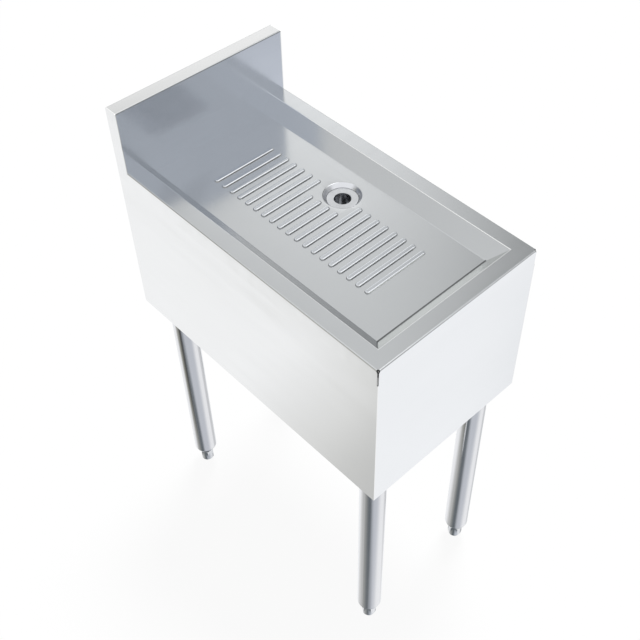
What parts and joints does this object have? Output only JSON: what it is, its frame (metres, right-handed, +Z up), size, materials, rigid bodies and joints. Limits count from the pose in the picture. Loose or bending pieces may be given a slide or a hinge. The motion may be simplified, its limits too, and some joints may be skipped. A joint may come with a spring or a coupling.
{
  "type": "underbar drainboard",
  "caption": "Narrow steel underbar drainboard: ribbed pan with a small open drain, low backsplash, deep apron and tubular legs on adjustable screw feet.",
  "frame": {"origin": "on the floor, at the middle of the body's footprint, with the feet at rest", "axes": "+X to the right, +Y to the back, +Z up"},
  "size_m": [0.3048, 0.5398, 0.8448],
  "materials": {
    "deck_steel": "fine brushed, nearly mirror-like",
    "panel_steel": "fine brushed",
    "channel_steel": "zinc-coated mill finish",
    "drain_metal": "satin",
    "rubber": "matte",
    "nut_brass": "as cast",
    "screw_steel": "black oxide",
    "socket_metal": "cast",
    "tube_steel": "polished lengthwise",
    "insert_metal": "machined",
    "stud_steel": "zinc plated",
    "foot_metal": "nickel plated"
  },
  "bodies": {
    "stand": {"drain_deck": "deck_steel", "backsplash": "deck_steel", "left_side_panel": "panel_steel", "right_side_panel": "panel_steel", "front_apron": "panel_steel", "rear_panel": "panel_steel", "left_leg_channel": "channel_steel", "right_leg_channel": "channel_steel", "drain_body": "drain_metal", "drain_gasket": "rubber", "drain_washer": "channel_steel", "drain_locknut": "nut_brass", "leg_socket_front_left": "socket_metal", "leg_socket_front_right": "socket_metal", "leg_socket_rear_left": "socket_metal", "leg_socket_rear_right": "socket_metal", "socket_screws": "screw_steel", "leg_tube_front_left": "tube_steel", "leg_tube_front_right": "tube_steel", "leg_tube_rear_left": "tube_steel", "leg_tube_rear_right": "tube_steel", "foot_insert_front_left": "insert_metal", "foot_insert_front_right": "insert_metal", "foot_insert_rear_left": "insert_metal", "foot_insert_rear_right": "insert_metal"},
    "stud_front_left": {"foot_stud_front_left": "stud_steel"},
    "hexagon_front_left": {"foot_front_left": "foot_metal"},
    "stud_front_right": {"foot_stud_front_right": "stud_steel"},
    "hexagon_front_right": {"foot_front_right": "foot_metal"},
    "stud_rear_left": {"foot_stud_rear_left": "stud_steel"},
    "hexagon_rear_left": {"foot_rear_left": "foot_metal"},
    "stud_rear_right": {"foot_stud_rear_right": "stud_steel"},
    "hexagon_rear_right": {"foot_rear_right": "foot_metal"}
  },
  "joints": [
    {"name": "front_left_foot_travel", "type": "slide", "parent": "stand", "child": "stud_front_left", "axis": [0, 0, -1], "range_m": [-0.014, 0.012]},
    {"name": "front_left_foot_turn", "type": "hinge", "parent": "stud_front_left", "child": "hexagon_front_left", "pos_m": [-0.1135, -0.23117, 0.014], "axis": [0, 0, -1], "range_deg": [-2600, 2230]},
    {"name": "front_right_foot_travel", "type": "slide", "parent": "stand", "child": "stud_front_right", "axis": [0, 0, -1], "range_m": [-0.014, 0.012]},
    {"name": "front_right_foot_turn", "type": "hinge", "parent": "stud_front_right", "child": "hexagon_front_right", "pos_m": [0.1135, -0.23117, 0.014], "axis": [0, 0, -1], "range_deg": [-2600, 2230]},
    {"name": "rear_left_foot_travel", "type": "slide", "parent": "stand", "child": "stud_rear_left", "axis": [0, 0, -1], "range_m": [-0.014, 0.012]},
    {"name": "rear_left_foot_turn", "type": "hinge", "parent": "stud_rear_left", "child": "hexagon_rear_left", "pos_m": [-0.1135, 0.22498, 0.014], "axis": [0, 0, -1], "range_deg": [-2600, 2230]},
    {"name": "rear_right_foot_travel", "type": "slide", "parent": "stand", "child": "stud_rear_right", "axis": [0, 0, -1], "range_m": [-0.014, 0.012]},
    {"name": "rear_right_foot_turn", "type": "hinge", "parent": "stud_rear_right", "child": "hexagon_rear_right", "pos_m": [0.1135, 0.22498, 0.014], "axis": [0, 0, -1], "range_deg": [-2600, 2230]}
  ],
  "couplings": [
    {"joint": "front_left_foot_turn", "follows": "front_left_foot_travel", "rad_per_m": 3215.8},
    {"joint": "front_right_foot_turn", "follows": "front_right_foot_travel", "rad_per_m": 3215.8},
    {"joint": "rear_left_foot_turn", "follows": "rear_left_foot_travel", "rad_per_m": 3215.8},
    {"joint": "rear_right_foot_turn", "follows": "rear_right_foot_travel", "rad_per_m": 3215.8}
  ]
}
